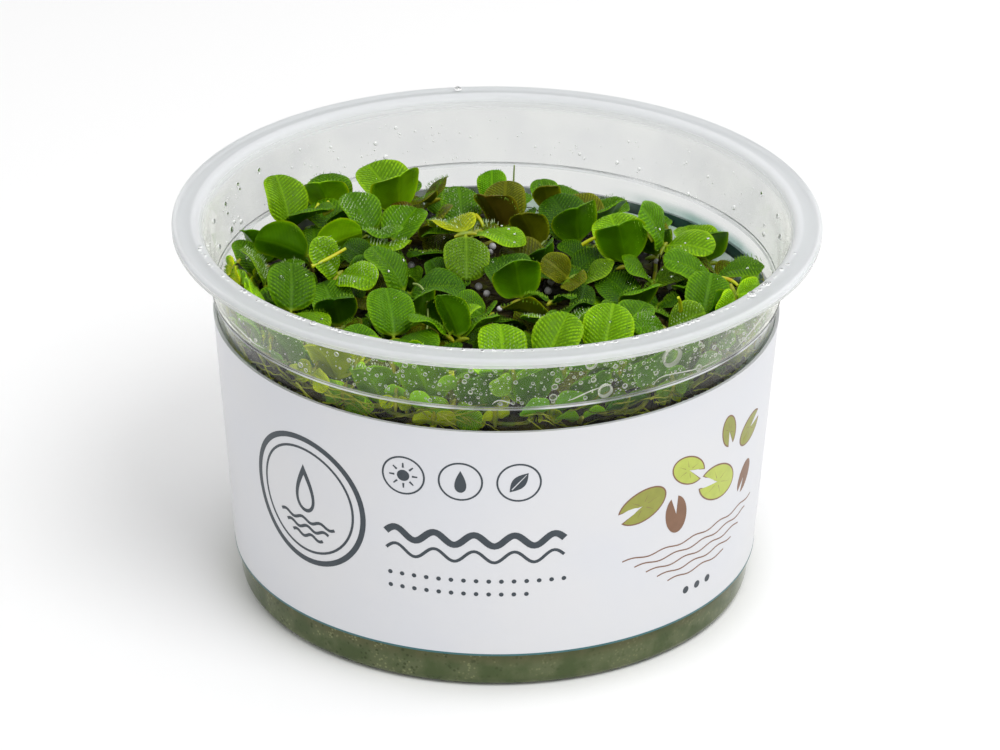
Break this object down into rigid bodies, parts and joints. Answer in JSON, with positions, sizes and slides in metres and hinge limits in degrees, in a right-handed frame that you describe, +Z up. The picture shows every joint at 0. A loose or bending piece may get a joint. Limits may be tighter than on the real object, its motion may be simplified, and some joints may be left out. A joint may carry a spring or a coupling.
{
  "type": "potted water spangles",
  "caption": "Water spangles, small floating ferns with paired oval ribbed leaves, crowded on a growth medium in a clear round plastic pot with a flat rim and a wraparound label.",
  "frame": {"origin": "centre of the pot's foot ring, on the surface that the pot stands on", "axes": "+Z up along the pot's axis, the middle of the label faces -Y"},
  "size_m": [0.1, 0.1, 0.0605],
  "materials": {
    "clear_plastic": "thin translucent plastic, clear on the body and slightly milky at the rim",
    "label_paper": "smooth coated off-white paper, satin",
    "label_ink": "matt printed ink",
    "growth_medium": "wet translucent gel, sage green with dark specks",
    "leaf": "waxy ribbed green leaf, paler and smooth below",
    "root": "wet dark brown root and old leaf",
    "water": "clear water drop"
  },
  "bodies": {
    "root": {"pot": "clear_plastic", "label": "label_paper", "growth_medium": "growth_medium", "spangle_01": "leaf", "spangle_02": "leaf", "spangle_03": "leaf", "spangle_04": "leaf", "spangle_05": "leaf", "spangle_06": "leaf", "spangle_07": "leaf", "spangle_08": "leaf", "spangle_09": "leaf", "spangle_10": "leaf", "spangle_11": "leaf", "spangle_12": "leaf", "spangle_13": "leaf", "spangle_14": "leaf", "spangle_15": "leaf", "spangle_16": "leaf", "spangle_17": "leaf", "spangle_18": "leaf", "spangle_19": "leaf", "spangle_20": "leaf", "spangle_21": "leaf", "spangle_22": "leaf", "spangle_23": "leaf", "spangle_24": "leaf", "spangle_25": "leaf", "spangle_26": "leaf", "spangle_27": "leaf", "spangle_28": "leaf", "spangle_29": "leaf", "spangle_30": "leaf", "spangle_31": "leaf", "spangle_32": "leaf", "spangle_33": "leaf", "spangle_34": "leaf", "spangle_35": "leaf", "spangle_36": "leaf", "spangle_37": "leaf", "spangle_38": "leaf", "spangle_39": "leaf", "spangle_40": "leaf", "spangle_41": "leaf", "spangle_42": "leaf", "spangle_43": "leaf", "spangle_44": "leaf", "spangle_45": "leaf", "spangle_46": "leaf", "spangle_47": "leaf", "spangle_48": "leaf", "spangle_49": "leaf", "spangle_50": "leaf", "spangle_51": "leaf", "spangle_52": "leaf", "spangle_53": "leaf", "spangle_54": "leaf", "spangle_55": "leaf", "spangle_56": "leaf", "spangle_57": "leaf"}
  },
  "joints": []
}
